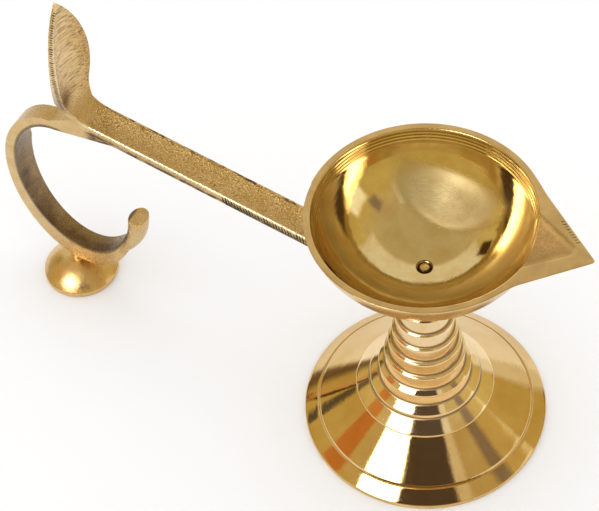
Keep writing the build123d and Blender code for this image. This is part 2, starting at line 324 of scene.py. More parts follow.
def smooth_max(first, second, blend):
    """Larger of two arrays, rounded over where they are within blend of each other."""
    near = np.maximum(blend - np.abs(first - second), 0.0)
    return np.maximum(first, second) + near ** 2 / (4 * blend)


def smooth_step(value):
    """Smooth rise from 0 to 1 of an array."""
    value = np.clip(value, 0.0, 1.0)
    return value * value * (3.0 - 2.0 * value)


def past(values, start, width):
    """Smooth rise from 0 to 1 over a width past a start, both in millimetres."""
    return smooth_step((values - start * MM) / (width * MM))


def shade_smooth(mesh):
    """Smooth shading that leaves sharp edges sharp."""
    mesh.polygons.foreach_set("use_smooth", [True] * len(mesh.polygons))
    mesh.set_sharp_from_angle(angle=SHARP_ANGLE)


def add_mask(mesh, name, values):
    """Point attribute that a material reads as a mask."""
    mask = mesh.attributes.new(name, "FLOAT", "POINT")
    mask.data.foreach_set("value", np.asarray(values, dtype=np.float32))


def mesh_normals(mesh):
    """Array of a mesh's point normals."""
    flat = np.empty(3 * len(mesh.vertices), dtype=np.float32)
    mesh.vertex_normals.foreach_get("vector", flat)
    return flat.reshape(-1, 3)


def mesh_points(mesh):
    """Array of a mesh's points."""
    flat = np.empty(3 * len(mesh.vertices))
    mesh.vertices.foreach_get("co", flat)
    return flat.reshape(-1, 3)


# Shader tools
def add_node(tree, kind, inputs=None, **settings):
    """New node with its settings, and its inputs set or linked by name or number."""
    new = tree.nodes.new(kind)
    for key, value in settings.items():
        setattr(new, key, value)
    for key, value in (inputs or {}).items():
        socket = new.inputs[key]
        if isinstance(value, bpy.types.NodeSocket):
            tree.links.new(value, socket)
        else:
            socket.default_value = (*value, 1.0) if socket.type == "RGBA" else value
    return new


def joined(tree, operation, first, *others):
    """Sum, product or the like of values and sockets, taken one after the other."""
    for other in others:
        first = add_node(tree, "ShaderNodeMath", {0: first, 1: other}, operation=operation).outputs[0]
    return first


def colour_mix(tree, mask, first, second):
    """Colour between two colours or colour sockets by a mask socket."""
    inputs = {0: mask, 6: first, 7: second}
    return add_node(tree, "ShaderNodeMix", inputs, data_type="RGBA").outputs[2]


def value_mix(tree, mask, first, second):
    """Value between two values or sockets by a mask socket."""
    return add_node(tree, "ShaderNodeMix", {0: mask, 2: first, 3: second}).outputs[0]


def ranged(tree, value, low, high, start=0.0, end=1.0):
    """Value socket mapped from start..end to low..high."""
    return add_node(tree, "ShaderNodeMapRange", {0: value, 1: start, 2: end, 3: low, 4: high}).outputs[0]


def bumped(tree, height, depth, normal=None):
    """Normal socket of a bump of that depth in millimetres, over another normal if one is given."""
    inputs = {"Height": height, "Strength": 1.0, "Distance": depth * MM}
    if normal is not None:
        inputs["Normal"] = normal
    return add_node(tree, "ShaderNodeBump", inputs).outputs[0]


def mask_of(tree, name):
    """Mask that a piece carries on its points."""
    return add_node(tree, "ShaderNodeAttribute", attribute_name=name).outputs["Fac"]


def from_axis(tree, place):
    """Distance of coordinates from the upright axis, and their height."""
    x, y, z = add_node(tree, "ShaderNodeSeparateXYZ", {0: place}).outputs
    flat = add_node(tree, "ShaderNodeCombineXYZ", {0: x, 1: y}).outputs[0]
    return add_node(tree, "ShaderNodeVectorMath", {0: flat}, operation="LENGTH").outputs["Value"], z


def radius_mask(tree, place, inner, outer):
    """Mask that is 1 within an inner radius of the upright axis and 0 past an outer one."""
    return ranged(tree, from_axis(tree, place)[0], 1.0, 0.0, inner * MM, outer * MM)


def group_mask(tree, name, build, inputs):
    """Mask that a shader node group puts out; the group is built at its first use."""
    group = bpy.data.node_groups.get(name)
    if group is None:
        group = bpy.data.node_groups.new(name, "ShaderNodeTree")
        for key in inputs:
            kind = "NodeSocketVector" if key == "Vector" else "NodeSocketFloat"
            group.interface.new_socket(name=key, in_out="INPUT", socket_type=kind)
        group.interface.new_socket(name="Mask", in_out="OUTPUT", socket_type="NodeSocketFloat")
        mask = build(group, group.nodes.new("NodeGroupInput").outputs)
        group.links.new(mask, group.nodes.new("NodeGroupOutput").inputs[0])
    return add_node(tree, "ShaderNodeGroup", inputs, node_tree=group).outputs[0]


def turned_lines(tree, place, pitch):
    """Fine irregular rings round the upright axis, of a pitch in millimetres, as a lathe tool leaves them."""

    def build(group, given):
        radius, height = from_axis(group, given["Vector"])
        count = joined(group, "DIVIDE", joined(group, "SUBTRACT", radius, height), given["Pitch"])
        inputs = {"W": count, "Scale": 1.0, "Detail": 3.0, "Roughness": 0.75}
        return add_node(group, "ShaderNodeTexNoise", inputs, noise_dimensions="1D").outputs[0]

    return group_mask(tree, "turned lines", build, {"Vector": place, "Pitch": pitch * MM})


def patches(tree, place, size, start, end):
    """Soft patches of a size in millimetres, for smudges and for brass that has darkened unevenly."""

    def build(group, given):
        scale = joined(group, "DIVIDE", 1.0, given["Size"])
        inputs = {"Vector": given["Vector"], "Scale": scale, "Detail": 5.0, "Roughness": 0.62}
        cloud = add_node(group, "ShaderNodeTexNoise", inputs).outputs[0]
        return ranged(group, cloud, 0.0, 1.0, given["From"], given["To"])

    inputs = {"Vector": place, "Size": size * MM, "From": start, "To": end}
    return group_mask(tree, "soft patches", build, inputs)


def scratches(tree, place, turns, width, reach):
    """Thin scratches of a width and length in millimetres; turns about X, Y and Z in degrees aim them."""

    def build(group, given):
        sizes = {0: given["Length"], 1: given["Width"], 2: given["Width"]}
        size = add_node(group, "ShaderNodeCombineXYZ", sizes).outputs[0]
        inputs = {0: given["Vector"], 1: size}
        scaled = add_node(group, "ShaderNodeVectorMath", inputs, operation="DIVIDE").outputs[0]
        inputs = {"Vector": scaled, "Scale": 1.0, "Detail": 2.0, "Roughness": 0.6}
        return add_node(group, "ShaderNodeTexNoise", inputs).outputs[0]

    angles = [math.radians(turn) for turn in turns]
    turned = add_node(tree, "ShaderNodeMapping", {"Vector": place, "Rotation": angles}).outputs[0]
    inputs = {"Vector": turned, "Width": width * MM, "Length": reach * MM}
    return group_mask(tree, "scratches", build, inputs)


# Materials, with the sizes of their marks in millimetres
def brass_base(name):
    """New metal material; returns the brass colours, it, its tree and its object coordinates."""
    material = bpy.data.materials.new(name)
    material.use_nodes = True
    tree = material.node_tree
    tree.nodes["Principled BSDF"].inputs["Metallic"].default_value = 1.0
    place = add_node(tree, "ShaderNodeTexCoord").outputs["Object"]
    return bpy.context.scene.lamp_brass, material, tree, place


def dressed(material, **sockets):
    """The material, with its shader's colour, roughness and normal linked."""
    tree = material.node_tree
    inputs = tree.nodes["Principled BSDF"].inputs
    for name, key in (("colour", "Base Color"), ("rough", "Roughness"), ("normal", "Normal")):
        if name in sockets:
            tree.links.new(sockets[name], inputs[key])
    return material


def polished_brass(name, gloss, waves, centre_x=0.0, crease_shaded=False):
    """Polished brass: faint turning lines, smudges, slight waves, hairline scratches and painted shade in the
    creases.
    """
    brass, material, tree, place = brass_base(name)
    centred = add_node(tree, "ShaderNodeMapping", {"Vector": place, "Location": (-centre_x, 0, 0)}).outputs[0]
    lines = turned_lines(tree, centred, 0.22)
    smudge = patches(tree, place, 9, 0.42, 0.68)
    swell = patches(tree, place, 3.5, 0.3, 0.7)
    hair = scratches(tree, place, (0, 0, 25), 0.07, 6)
    fresh, aged = (brass.pale, brass.bright) if crease_shaded else (brass.bright, brass.deep)
    colour = colour_mix(tree, ranged(tree, smudge, 0.0, 0.7), fresh, aged)
    rough = joined(tree, "ADD", ranged(tree, smudge, *gloss), ranged(tree, hair, 0.0, 0.12, 0.6, 0.76))
    # Painted shade: the corners of the steps turn dark brown and rougher.
    if crease_shaded:
        crease_shade = mask_of(tree, "crease_shade")
        colour = colour_mix(tree, ranged(tree, crease_shade, 0.0, 0.75), colour, brass.tarnish_and_shade)
        rough = joined(tree, "ADD", rough, ranged(tree, crease_shade, 0.0, 0.5))
    normal = bumped(tree, lines, 0.0015, bumped(tree, swell, waves))
    return dressed(material, colour=colour, rough=rough, normal=normal)


def turned_brass():
    """Inside of the bowl: polished over fine turning rings, dull on its far side, with dark brown film and
    painted shade round the stud.
    """
    brass, material, tree, place = brass_base("turned brass")
    lines = turned_lines(tree, place, 0.4)
    mottle = patches(tree, place, 5, 0.38, 0.7)
    hair = scratches(tree, place, (0, 0, 35), 0.1, 5)
    cross = scratches(tree, place, (0, 0, -20), 0.12, 3)
    dull = mask_of(tree, "dull")
    # Dark brown film and painted shade in the countersink gap round the stud.
    ring = radius_mask(tree, place, 1.95, 2.25)
    plain = colour_mix(tree, ranged(tree, mottle, 0.0, 0.6), brass.bowl, brass.deep)
    rubbed = joined(tree, "MULTIPLY", dull, ranged(tree, cross, 0.65, 1.0, 0.4, 0.6))
    filmed = colour_mix(tree, rubbed, plain, brass.matte)
    colour = colour_mix(tree, ring, filmed, brass.tarnish_and_shade)
    hair_marks = ranged(tree, hair, 0.0, 0.1, 0.6, 0.8)
    cross_marks = ranged(tree, cross, 0.0, 0.1, 0.62, 0.8)
    smeared = joined(tree, "MULTIPLY", dull, ranged(tree, mottle, 0.52, 0.62))
    rough = joined(tree, "ADD", ranged(tree, mottle, 0.04, 0.08), smeared, hair_marks, cross_marks)
    grooves = bumped(tree, lines, 0.004, bumped(tree, mottle, 0.008))
    return dressed(material, colour=colour, rough=rough, normal=bumped(tree, hair, 0.002, grooves))


def filed_brass():
    """Rim, spout and outside of the bowl: filed to a satin, with soot-browned metal in the wick pocket."""
    brass, material, tree, place = brass_base("filed brass")
    brush = scratches(tree, place, (0, 0, 30), 0.11, 3.5)
    grain = patches(tree, place, 0.6, 0.3, 0.7)
    cloud = patches(tree, place, 6, 0.4, 0.7)
    pocket = mask_of(tree, "pocket")
    soiled = joined(tree, "MULTIPLY", pocket, ranged(tree, grain, 0.05, 0.3))
    plain = colour_mix(tree, ranged(tree, cloud, 0.1, 0.5), brass.bright, brass.dull)
    colour = colour_mix(tree, soiled, plain, brass.tarnish_and_shade)
    rough = joined(tree, "ADD", ranged(tree, grain, 0.18, 0.26), ranged(tree, pocket, 0.0, 0.55))
    normal = bumped(tree, grain, 0.004, bumped(tree, brush, 0.01))
    return dressed(material, colour=colour, rough=rough, normal=normal)


def cast_brass():
    """Filed and brushed casting: uneven skin, marks that follow each part, painted shade inside the loop, low
    on the leaf, on the arm's near half and under it, dark streaks on the arm's far edge, and edge wear with a
    painted highlight.
    """
    brass, material, tree, place = brass_base("cast brass")
    masks = ("arm", "leaf", "inner", "streaked_and_shaded", "under", "wear_and_highlight")
    arm, leaf, inner, streaked_and_shaded, under, wear_and_highlight = (mask_of(tree, name) for name in masks)
    arm_marks = scratches(tree, place, (0, 0, -122), 0.4, 2.2)
    leaf_marks = scratches(tree, place, (16, 0, -90), 0.42, 6)
    hook_marks = scratches(tree, place, (0, 50, 0), 0.12, 6)
    brush = value_mix(tree, leaf, value_mix(tree, arm, hook_marks, arm_marks), leaf_marks)
    cloud = patches(tree, place, 5, 0.4, 0.7)
    skin = patches(tree, place, 0.55, 0.35, 0.65)
    shade_mottle = patches(tree, place, 4.5, 0.38, 0.66)
    streaks = scratches(tree, place, (0, -12, 0), 0.5, 3.5)
    # Painted shade: the near half of the arm's top is darker than its far half; on the leaf the brush lines
    # are dulled.
    across = add_node(tree, "ShaderNodeSeparateXYZ", {0: place}).outputs[1]
    arm_near_side_shade = ranged(tree, across, 1.0, 0.5, -3.5 * MM, 3.5 * MM)
    arm_near_shade = joined(tree, "MULTIPLY", arm, arm_near_side_shade)
    shade_and_brush_zone = joined(tree, "MAXIMUM", arm_near_shade, ranged(tree, leaf, 0.0, 0.7))
    plain = colour_mix(tree, cloud, brass.bright, brass.deep)
    brush_dull_and_shade = joined(tree, "MULTIPLY", shade_and_brush_zone, ranged(tree, brush, 0.0, 0.36, 0.38, 0.64))
    # Dull brass on the brush lines, and as painted shade on the arm's near half.
    dulled = colour_mix(tree, brush_dull_and_shade, plain, brass.dull)
    # Painted shade inside the finger loop and low on the leaf, mottled by noise.
    loop_and_leaf_shade = joined(tree, "MULTIPLY", inner, ranged(tree, shade_mottle, 0.8, 1.0))
    lined = joined(tree, "MULTIPLY", leaf, ranged(tree, leaf_marks, 0.0, 0.6, 0.5, 0.64))
    speckled = joined(tree, "MULTIPLY", arm, ranged(tree, skin, 0.0, 0.7, 0.75, 1.0))
    # Painted shade under the arm's near side widens the dark streaks there.
    caught = joined(tree, "ADD", streaks, ranged(tree, under, 0.0, 0.1))
    streaks_and_shade = joined(tree, "MULTIPLY", streaked_and_shaded, ranged(tree, caught, 0.0, 1.0, 0.5, 0.57))
    # Brown mix of painted shade (loop, leaf, under the arm), dark streaks on the far edge, and real pits and
    # brush lines.
    film = joined(tree, "MAXIMUM", loop_and_leaf_shade, speckled, streaks_and_shade, lined)
    # Near edges take the bright wear colour, as wear and as a painted highlight.
    colour = colour_mix(tree, wear_and_highlight, colour_mix(tree, film, dulled, brass.tarnish_and_shade), brass.wear_and_highlight)
    rough = joined(tree, "ADD", ranged(tree, skin, 0.13, 0.27), ranged(tree, brush, 0.0, 0.12))
    uneven = joined(tree, "MULTIPLY", ranged(tree, arm, 0.15, 1.0), ranged(tree, wear_and_highlight, 1.0, 0.0))
    lumps = joined(tree, "MULTIPLY", skin, uneven)
    normal = bumped(tree, lumps, 0.13, bumped(tree, brush, 0.1))
    return dressed(material, colour=colour, rough=rough, normal=normal)


def painted_cut_shade():
    """Painted shade: near-black strokes that stand for the shade inside the file cuts."""
    brass, material, tree, place = brass_base("painted cut shade")
    film = patches(tree, place, 1.5, 0.35, 0.75)
    colour = colour_mix(tree, film, brass.cut_shade, brass.tarnish_and_shade)
    return dressed(material, colour=colour, rough=ranged(tree, film, 0.55, 0.4))


def stud_brass():
    """Hammered end of the stud: bright on top, with dark brown film and painted shade at its edge in the
    countersink gap.
    """
    brass, material, tree, place = brass_base("stud brass")
    dents = patches(tree, place, 0.9, 0.35, 0.7)
    crown = radius_mask(tree, place, 0.95, 1.2)
    plain = colour_mix(tree, dents, brass.bright, brass.deep)
    # Dark brown film and painted shade at the edge.
    colour = colour_mix(tree, crown, brass.tarnish_and_shade, plain)
    rough = ranged(tree, dents, 0.18, 0.34)
    return dressed(material, colour=colour, rough=rough, normal=bumped(tree, dents, 0.05))


def hardware_brass():
    """Plain turned brass of the nut and washer, dulled under the base."""
    brass, material, tree, place = brass_base("hardware brass")
    film = patches(tree, place, 3, 0.4, 0.7)
    colour = colour_mix(tree, film, brass.deep, brass.tarnish_and_shade)
    normal = bumped(tree, turned_lines(tree, place, 0.25), 0.02)
    return dressed(material, colour=colour, rough=ranged(tree, film, 0.3, 0.5), normal=normal)


# File cuts
CUT_JITTER = 0.16
CUT_SIZES = (0.65, 1.15)


def file_cuts_tree():
    """Geometry nodes that lay tapered file cuts along a line, across a given direction."""
    tree = bpy.data.node_groups.new("file cuts", "GeometryNodeTree")
    kinds = {"Line": "Geometry", "Across": "Vector", "Seed": "Int", "Material": "Material"}
    for name in (
        "Line", "Pitch", "Length", "Width", "Height", "Taper", "Slant", "Across", "Seed", "Material",
    ):
        kind = "NodeSocket" + kinds.get(name, "Float")
        tree.interface.new_socket(name=name, in_out="INPUT", socket_type=kind)
    tree.interface.new_socket(name="Cuts", in_out="OUTPUT", socket_type="NodeSocketGeometry")
    given = tree.nodes.new("NodeGroupInput").outputs

    def step(kind, inputs, output=0, **settings):
        return add_node(tree, kind, inputs, **settings).outputs[output]

    def drawn_between(low, high):
        return step("FunctionNodeRandomValue", {2: low, 3: high, "Seed": given["Seed"]}, 1)

    # Points along the line, each with its share of the way
    marked = tree.nodes.new("GeometryNodeCaptureAttribute")
    marked.capture_items.new("FLOAT", "Share")
    tree.links.new(step("GeometryNodeMeshToCurve", {0: given["Line"]}), marked.inputs[0])
    tree.links.new(tree.nodes.new("GeometryNodeSplineParameter").outputs["Factor"], marked.inputs[1])
    inputs = {"Curve": marked.outputs[0], "Length": given["Pitch"]}
    places = add_node(tree, "GeometryNodeCurveToPoints", inputs, mode="LENGTH").outputs

    # Turn of each cut: along the line, facing across, leaning by the slant and a little more or less
    turn = step("FunctionNodeAlignRotationToVector", {"Vector": places["Tangent"]}, axis="X")
    inputs = {"Rotation": turn, "Vector": given["Across"]}
    turn = step("FunctionNodeAlignRotationToVector", inputs, axis="Z", pivot_axis="X")
    lean = joined(tree, "ADD", given["Slant"], drawn_between(-CUT_JITTER, CUT_JITTER))
    lean = step("FunctionNodeEulerToRotation", {0: step("ShaderNodeCombineXYZ", {1: lean})})
    turn = step("FunctionNodeRotateRotation", {0: turn, 1: lean}, rotation_space="LOCAL")

    # One stroke, laid at each point in a size of its own that tapers along the line
    shape = step("ShaderNodeCombineXYZ", {0: given["Width"], 1: given["Height"], 2: given["Length"]})
    ball = step("GeometryNodeMeshUVSphere", {"Segments": 8, "Rings": 6, "Radius": 0.5})
    stroke = step("GeometryNodeTransform", {"Geometry": ball, "Scale": shape})
    drawn = drawn_between(*CUT_SIZES)
    kept = joined(tree, "SUBTRACT", 1.0, joined(tree, "MULTIPLY", marked.outputs[1], given["Taper"]))
    sizes = step("ShaderNodeCombineXYZ", {0: drawn, 1: drawn, 2: joined(tree, "MULTIPLY", drawn, kept)})
    inputs = {"Points": places["Points"], "Instance": stroke, "Rotation": turn, "Scale": sizes}
    real = step("GeometryNodeRealizeInstances", {0: step("GeometryNodeInstanceOnPoints", inputs)})
    smooth = step("GeometryNodeSetShadeSmooth", {0: real})
    painted = step("GeometryNodeSetMaterial", {"Geometry": smooth, "Material": given["Material"]})
    tree.links.new(painted, tree.nodes.new("NodeGroupOutput").inputs[0])
    return tree


def file_cuts(name, points, values):
    """Plain mesh of the cuts along a line of points."""
    tree = bpy.data.node_groups.get("file cuts") or file_cuts_tree()
    mesh = bpy.data.meshes.new(name + "_line")
    mesh.from_pydata(points, [(index, index + 1) for index in range(len(points) - 1)], [])
    line = linked(name + "_line", mesh)
    modifier = line.modifiers.new("file cuts", "NODES")
    modifier.node_group = tree
    for socket in tree.interface.items_tree:
        if socket.in_out == "INPUT" and socket.name in values:
            modifier[socket.identifier] = values[socket.name]
    return evaluated_mesh(line, name)


# Pieces
class LAMP_OT_skirt(bpy.types.Operator):
    """Turn the polished conical skirt"""

    bl_idname = "lamp.make_skirt"
    bl_label = "Base skirt"

    def execute(self, context):
        size = context.scene.lamp_skirt
        slope = (seat_height - size.lip_height) / (base_radius - seat_radius)
        ring_inner = base_radius - size.ring_width
        ceiling = seat_height - size.seat_plate

        def cone_height(radius):
            return size.lip_height + (base_radius - radius) * slope

        line_low = size.line_radius + size.line_size
        line_high = size.line_radius - size.line_size
        edge = size.rounding
        corners = (
            (size.bore, seat_height, 0),
            (seat_radius, seat_height, 0.2 * edge),
            (line_high, cone_height(line_high), 0.3 * edge),
            (size.line_radius, cone_height(size.line_radius) - size.line_size, 0.15 * edge),
            (line_low, cone_height(line_low), 0.3 * edge),
            (base_radius, size.lip_height, edge),
            (base_radius, 0, 0.4 * edge),
            (ring_inner, 0, 0.4 * edge),
            (ring_inner - ceiling / slope, ceiling, edge),
            (size.bore, ceiling, 0),
        )
        mesh = lathe_mesh("polished_skirt", corners, longest=0.7 * MM, segments=256)
        material = polished_brass("polished brass", gloss=(0.03, 0.07), waves=0.008)
        add_piece("polished_skirt", mesh, [material], "polished_brass", "base_skirt")
        return {"FINISHED"}


class LAMP_OT_stem(bpy.types.Operator):
    """Turn the stepped stem"""

    bl_idname = "lamp.make_stem"
    bl_label = "Stepped stem"

    upper_radii = (14.35, 11.95, 10.4, 9.4, 8.35, 7.5, 6.7)
    wide_ledges = 3
    crease_shade_reach = 1.6

    def execute(self, context):
        size = context.scene.lamp_stem
        bore = context.scene.lamp_skirt.bore
        slope = math.tan(size.ledge_angle)
        radii = [seat_radius] + [radius * MM for radius in self.upper_radii]
        rises = [size.first_rise, size.second_rise] + [size.step_rise] * (len(radii) - 3)
        crest = size.rounding
        root = 0.5 * size.rounding
        corners = [(bore, seat_height, 0), (seat_radius, seat_height, 0.2 * crest)]
        creases = []
        riser_foot = seat_height
        for index, (below, radius, rise) in enumerate(zip(radii, radii[1:], rises)):
            riser_foot += rise
            angle = size.ledge_angle if index < self.wide_ledges else size.upper_ledge_angle
            corners.append((below, riser_foot - (below - radius) * math.tan(angle), crest))
            corners.append((radius, riser_foot, root))
            creases.append((radius, riser_foot))
        riser_top = riser_foot + size.top_riser
        neck_top = stem_top - size.collar_height
        corners += [
            (radii[-1], riser_top, crest),
            (size.neck_radius, riser_top + (radii[-1] - size.neck_radius) * slope, crest),
            (size.neck_radius, neck_top - (size.collar_radius - size.neck_radius) * slope, crest),
            (size.collar_radius, neck_top, crest),
            (size.collar_radius, stem_top, root),
            (bore, stem_top, 0),
        ]
        mesh = lathe_mesh("turned_stem", corners, longest=0.6 * MM, segments=192)
        x, y, z = mesh_points(mesh).T
        # Painted shade: mask of a dark line where each ledge meets the riser above it.
        gaps = [np.hypot(np.hypot(x, y) - radius, z - height) for radius, height in creases]
        add_mask(mesh, "crease_shade", smooth_step(self.crease_shade_reach - np.min(gaps, axis=0) / size.crease_shade))
        material = polished_brass("stem brass", gloss=(0.05, 0.1), waves=0.004, crease_shaded=True)
        add_piece("turned_stem", mesh, [material], "polished_brass", "stepped_stem")
        return {"FINISHED"}


class LAMP_OT_bowl(bpy.types.Operator):
    """Turn the oil bowl with its cast spout and wick pocket"""

    bl_idname = "lamp.make_bowl"
    bl_label = "Oil bowl"

    floor_rows = 84
    lip_rows = 36
    rim_rows = 36
    side_rows = 26
    outer_rows = 30
    fillet_rows = 4
    boss_rows = 6
    spout_columns = 176
    other_columns = 178
    spout_half = math.radians(48)
    tip_round = 1.6 * MM
    root_blend = 1.2 * MM
    pocket_fade = 1.2 * MM
    pocket_bend = 1.4
    floor_steepness = 6.0
    lip_tries = 24
    mark_seed = 7
    least_cosine = 0.1
    least_half = 0.1 * MM
    top_margin = 0.05 * MM
    dull_middle = (-1.5 * MM, 16.5 * MM)
    dull_reach = (12 * MM, 4.5 * MM)
    dull_edge = 2.1
    dull_fade = 1.8

    def angles(self, size):
        """Angles of the columns, closer together round the spout."""
        first, last = size.spout_turn - self.spout_half, size.spout_turn + self.spout_half
        spout = np.linspace(first, last, self.spout_columns)
        rest = np.linspace(last, size.spout_turn + 2 * math.pi - self.spout_half, self.other_columns)
        return np.concatenate((spout, rest[1:-1]))

    def side_reach(self, size, turn, depth, spread):
        """Reach of one flat side of the spout at an angle from its middle and a depth below the rim."""
        outer = size.rim_radius + size.rim_width
        run = size.spout_reach - outer * math.cos(spread)
        lean = math.atan2(run, outer * math.sin(spread))
        face = size.spout_reach * math.cos(lean) - depth * math.tan(size.spout_undercut)
        return face / np.maximum(np.cos(np.minimum(turn, lean) - lean), self.least_cosine)

    def spout_radius(self, size, theta, depth):
        """Reach of the spout at an angle and a depth below the rim."""
        turn = (theta - size.spout_turn + math.pi) % (2 * math.pi) - math.pi
        far = self.side_reach(size, turn, depth, size.spread_far)
        near = self.side_reach(size, -turn, depth, size.spread_near)
        floor = np.maximum(depth - size.spout_depth, 0.0) * self.floor_steepness
        return -smooth_max(-far, -near, self.tip_round) - floor

    def with_spout(self, size, radius, theta, depth):
        """Radius of the bowl's outside, blended into the spout where that reaches further."""
        spout = self.spout_radius(size, theta, depth)
        return smooth_max(np.full_like(theta, radius), spout, self.root_blend)

    def pocket_depth(self, size, x, y):
        """Depth of the wick pocket under the rim's plane: a rounded valley that runs out in a point."""
        along = x * math.cos(size.pocket_turn) + y * math.sin(size.pocket_turn)
        across = np.abs(y * math.cos(size.pocket_turn) - x * math.sin(size.pocket_turn))
        growth = (size.pocket_reach - along) / (size.pocket_reach - size.rim_radius)
        half = size.pocket_end_half_width + (size.pocket_half_width - size.pocket_end_half_width) * growth
        deep = size.pocket_end_depth + (size.pocket_depth - size.pocket_end_depth) * growth
        end = smooth_step((size.pocket_reach - along) / self.pocket_fade)
        aside = np.clip(across / np.maximum(half, self.least_half), 0.0, 1.0)
        return np.where(along > 0, np.maximum(deep, 0.0) * (1 - aside ** self.pocket_bend) * end, 0.0)

    def execute(self, context):
        size = context.scene.lamp_bowl
        bore = context.scene.lamp_skirt.bore
        theta = self.angles(size)
        cosine, sine = np.cos(theta), np.sin(theta)
        floor_height = rim_height - size.depth
        shell_height = size.depth + size.wall
        outer_rim = size.rim_radius + size.rim_width
        inner_sphere = (size.rim_radius ** 2 + size.depth ** 2) / (2 * size.depth)
        outer_sphere = (outer_rim ** 2 + shell_height ** 2) / (2 * shell_height)
        rows = []

        def add_row(radius, height):
            radius = np.broadcast_to(radius, theta.shape)
            height = np.broadcast_to(height, theta.shape)
            rows.append(np.stack((radius * cosine, radius * sine, height), axis=1).tolist())

        def add_fillet(*places):
            start, middle, end = (np.stack(np.broadcast_arrays(*place)) for place in places)
            for index in range(1, self.fillet_rows):
                add_row(*curved(start, middle, end, index / self.fillet_rows))

        def add_inside(sweep, raised):
            sphere = inner_sphere + raised
            add_row(sphere * np.sin(sweep), floor_height + inner_sphere - sphere * np.cos(sweep))

        # Inside, from the countersink to the rim, with faint turning marks and deeper lines under the rim
        def inner_radius(depth):
            return np.sqrt(inner_sphere ** 2 - (inner_sphere - size.depth + depth) ** 2)

        lip_depth = np.zeros_like(theta)
        for _ in range(self.lip_tries):
            radius = inner_radius(lip_depth)
            lip_depth = 0.5 * (lip_depth + self.pocket_depth(size, radius * cosine, radius * sine))
        edge = size.rounding
        start = math.asin(size.countersink_radius / inner_sphere)
        finish = np.arccos((inner_sphere - size.depth + lip_depth + edge) / inner_sphere)
        band = size.lip_band / inner_sphere
        draw = np.random.default_rng(self.mark_seed)
        marks = size.mark_height * draw.uniform(-1.0, 1.0, self.floor_rows)
        for index, mark in enumerate(marks):
            add_inside(start + (finish - band - start) * index / self.floor_rows, mark)
        for index in range(self.lip_rows):
            t = index / (self.lip_rows - 1)
            wave = math.sin(2 * math.pi * size.lip_band * t / size.line_pitch) * math.sin(math.pi * t) ** 0.5
            add_inside(finish - band + band * t, size.line_height * wave)

        # Flat rim and spout top, with the pocket sunk in it
        inner_edge = inner_radius(lip_depth)
        top_radius = self.with_spout(size, outer_rim, theta, 0.0)
        flat_in = inner_edge + edge
        flat_out = top_radius - edge

        def top_height(radius):
            return rim_height - self.pocket_depth(size, radius * cosine, radius * sine)

        add_fillet(
            (inner_radius(lip_depth + edge), rim_height - lip_depth - edge),
            (inner_edge, rim_height - lip_depth),
            (flat_in, top_height(flat_in)),
        )
        for index in range(self.rim_rows):
            radius = flat_in + (flat_out - flat_in) * index / (self.rim_rows - 1)
            add_row(radius, top_height(radius))

        # Outside, from the rim's outer edge down to the boss
        def outer_radius(depth):
            sphere = np.sqrt(outer_sphere ** 2 - (outer_sphere - shell_height + depth) ** 2)
            return self.with_spout(size, sphere, theta, depth)

        side = (outer_radius(edge), rim_height - edge)
        add_fillet((flat_out, rim_height), (top_radius, rim_height), side)
        spout_end = size.spout_depth + self.root_blend
        for depth in np.linspace(edge, spout_end, self.side_rows):
            add_row(outer_radius(depth), rim_height - depth)
        first = math.acos((outer_sphere - shell_height + spout_end) / outer_sphere)
        last = math.asin((size.boss_radius + edge) / outer_sphere)
        for sweep in np.linspace(first, last, self.outer_rows)[1:]:
            depth = shell_height - outer_sphere * (1 - math.cos(sweep))
            add_row(outer_radius(depth), rim_height - depth)

        # Boss, its flat underside and the bore
        boss_top = rows[-1][0][2] - edge
        for height in np.linspace(boss_top, eye_top + edge, self.boss_rows):
            add_row(size.boss_radius, height)
        add_row(size.boss_radius - edge, eye_top)
        add_row(bore + edge, eye_top)
        add_row(bore, eye_top + edge)
        add_row(bore, floor_height - size.countersink_depth)
        mesh = grid_mesh("turned_bowl", rows)
        inside = (self.floor_rows + self.lip_rows) * len(theta)
        x, y, z = mesh_points(mesh).T
        sunk = self.pocket_depth(size, x, y)
        on_top = z > rim_height - sunk - self.top_margin
        add_mask(mesh, "pocket", np.where(on_top, past(sunk, 0, 1), 0.0))
        dull = 0.0
        for place, middle, reach in zip((x, y), self.dull_middle, self.dull_reach):
            dull = dull + ((place - middle) / reach) ** 2
        add_mask(mesh, "dull", smooth_step((self.dull_edge - dull) / self.dull_fade))
        add_piece("turned_bowl", mesh, [turned_brass(), filed_brass()], "turned_brass", "oil_bowl")
        outside = [0 if index < inside else 1 for index in range(len(mesh.polygons))]
        mesh.polygons.foreach_set("material_index", outside)
        return {"FINISHED"}


def arm_height(size, x):
    """Height of the arm's top at places along it."""
    return eye_top - (x + size.arm_root) * math.tan(size.arm_angle)


def leaf_edge(size, above):
    """Place of the leaf's curved near edge at heights above its widest place."""
    swell = (size.leaf_half_width ** 2 + size.leaf_belly ** 2) / (2 * size.leaf_half_width)
    return swell - size.leaf_half_width - np.sqrt(np.maximum(swell ** 2 - above ** 2, 0.0))


